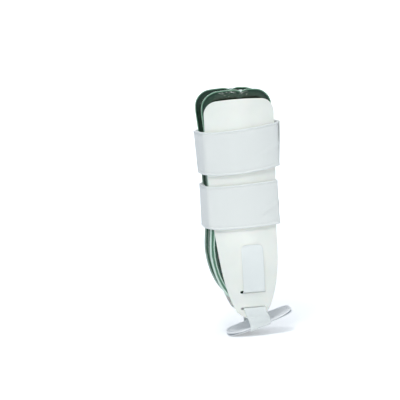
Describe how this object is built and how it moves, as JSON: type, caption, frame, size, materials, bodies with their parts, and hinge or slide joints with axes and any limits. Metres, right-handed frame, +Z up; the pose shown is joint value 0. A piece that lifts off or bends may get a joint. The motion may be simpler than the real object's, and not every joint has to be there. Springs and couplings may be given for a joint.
{
  "type": "stirrup ankle brace",
  "caption": "Stirrup ankle foot orthosis: two moulded side shells with inflatable liners, wrap straps and a heel pad on a slotted webbing strap.",
  "frame": {"origin": "middle of the heel strap's underside, where the brace meets the ground", "axes": "+X to the toes, +Y to the medial side of a right leg, +Z up along the side shells"},
  "size_m": [0.0954, 0.113, 0.2803],
  "materials": {
    "shell_plastic": "satin moulded, white",
    "cell_film": "glossy clear film, dark green",
    "foam": "open-cell foam, dark grey-green",
    "strap_loop": "brushed loop fabric, white",
    "hook_tape": "moulded hook tape, white",
    "webbing": "woven webbing, white",
    "pad_cover": "smooth knitted cover, white",
    "plate_plastic": "matte sheet, white",
    "valve_plastic": "soft moulded, pale"
  },
  "bodies": {
    "heel_pad": {"heel_plate": "plate_plastic", "heel_pad_foam": "foam", "heel_pad_cover": "pad_cover", "heel_hook_strip": "hook_tape", "stirrup_base": "webbing"},
    "stirrup": {"medial_stirrup_side": "webbing", "lateral_stirrup_side": "webbing"},
    "medial_shell": {"medial_shell": "shell_plastic", "medial_air_cell": "cell_film", "medial_foam_insert": "foam", "medial_liner_hook_pads": "hook_tape", "medial_strap_hook_patches": "hook_tape", "medial_tail_hook_patch": "hook_tape", "medial_strap_inner_run": "webbing", "medial_valve_stem": "valve_plastic", "upper_strap_medial_panel": "strap_loop", "lower_strap_medial_panel": "strap_loop"},
    "medial_tail": {"medial_strap_tail": "webbing"},
    "medial_plug": {"medial_valve_plug": "valve_plastic"},
    "lateral_shell": {"lateral_shell": "shell_plastic", "lateral_air_cell": "cell_film", "lateral_foam_insert": "foam", "lateral_liner_hook_pads": "hook_tape", "lateral_strap_hook_patches": "hook_tape", "lateral_tail_hook_patch": "hook_tape", "lateral_strap_inner_run": "webbing", "lateral_valve_stem": "valve_plastic", "upper_strap_lateral_panel": "strap_loop", "lower_strap_lateral_panel": "strap_loop"},
    "lateral_tail": {"lateral_strap_tail": "webbing"},
    "lateral_plug": {"lateral_valve_plug": "valve_plastic"},
    "upper_front_flap": {"upper_strap_front_flap": "strap_loop", "upper_strap_front_tab": "hook_tape"},
    "upper_rear_flap": {"upper_strap_rear_flap": "strap_loop", "upper_strap_rear_tab": "hook_tape"},
    "lower_front_flap": {"lower_strap_front_flap": "strap_loop", "lower_strap_front_tab": "hook_tape"},
    "lower_rear_flap": {"lower_strap_rear_flap": "strap_loop", "lower_strap_rear_tab": "hook_tape"}
  },
  "joints": [
    {"name": "heel_pad_pitch", "type": "hinge", "parent": "heel_pad", "child": "stirrup", "pos_m": [0, 0, 0.0022], "axis": [0, 1, 0], "range_deg": [-20, 32]},
    {"name": "medial_shell_swing", "type": "hinge", "parent": "stirrup", "child": "medial_shell", "pos_m": [0.0057, 0.03918, 0.0243], "axis": [-1, 0, 0], "range_deg": [0, 50]},
    {"name": "medial_tail_peel", "type": "hinge", "parent": "medial_shell", "child": "medial_tail", "pos_m": [0.0057, 0.04631, 0.04445], "axis": [-1, 0, 0], "range_deg": [0, 95]},
    {"name": "lateral_shell_swing", "type": "hinge", "parent": "stirrup", "child": "lateral_shell", "pos_m": [0.0057, -0.03918, 0.0243], "axis": [1, 0, 0], "range_deg": [0, 50]},
    {"name": "lateral_tail_peel", "type": "hinge", "parent": "lateral_shell", "child": "lateral_tail", "pos_m": [0.0057, -0.04631, 0.04445], "axis": [1, 0, 0], "range_deg": [0, 95]},
    {"name": "upper_front_flap_peel", "type": "hinge", "parent": "medial_shell", "child": "upper_front_flap", "pos_m": [0.0474, 0.04212, 0.2009], "axis": [0, 0.0931, 0.9957], "range_deg": [0, 100]},
    {"name": "upper_rear_flap_peel", "type": "hinge", "parent": "lateral_shell", "child": "upper_rear_flap", "pos_m": [-0.0296, -0.04365, 0.2064], "axis": [0, -0.0987, 0.9951], "range_deg": [0, 100]},
    {"name": "lower_front_flap_peel", "type": "hinge", "parent": "medial_shell", "child": "lower_front_flap", "pos_m": [0.047, 0.03899, 0.13965], "axis": [0, 0.0127, 0.9999], "range_deg": [0, 100]},
    {"name": "lower_rear_flap_peel", "type": "hinge", "parent": "lateral_shell", "child": "lower_rear_flap", "pos_m": [-0.0264, -0.04138, 0.1417], "axis": [0, -0.0176, 0.9998], "range_deg": [0, 100]},
    {"name": "medial_plug_pull", "type": "slide", "parent": "medial_shell", "child": "medial_plug", "axis": [0, 0.1543, 0.988], "range_m": [0, 0.01]},
    {"name": "lateral_plug_pull", "type": "slide", "parent": "lateral_shell", "child": "lateral_plug", "axis": [0, -0.1543, 0.988], "range_m": [0, 0.01]}
  ]
}
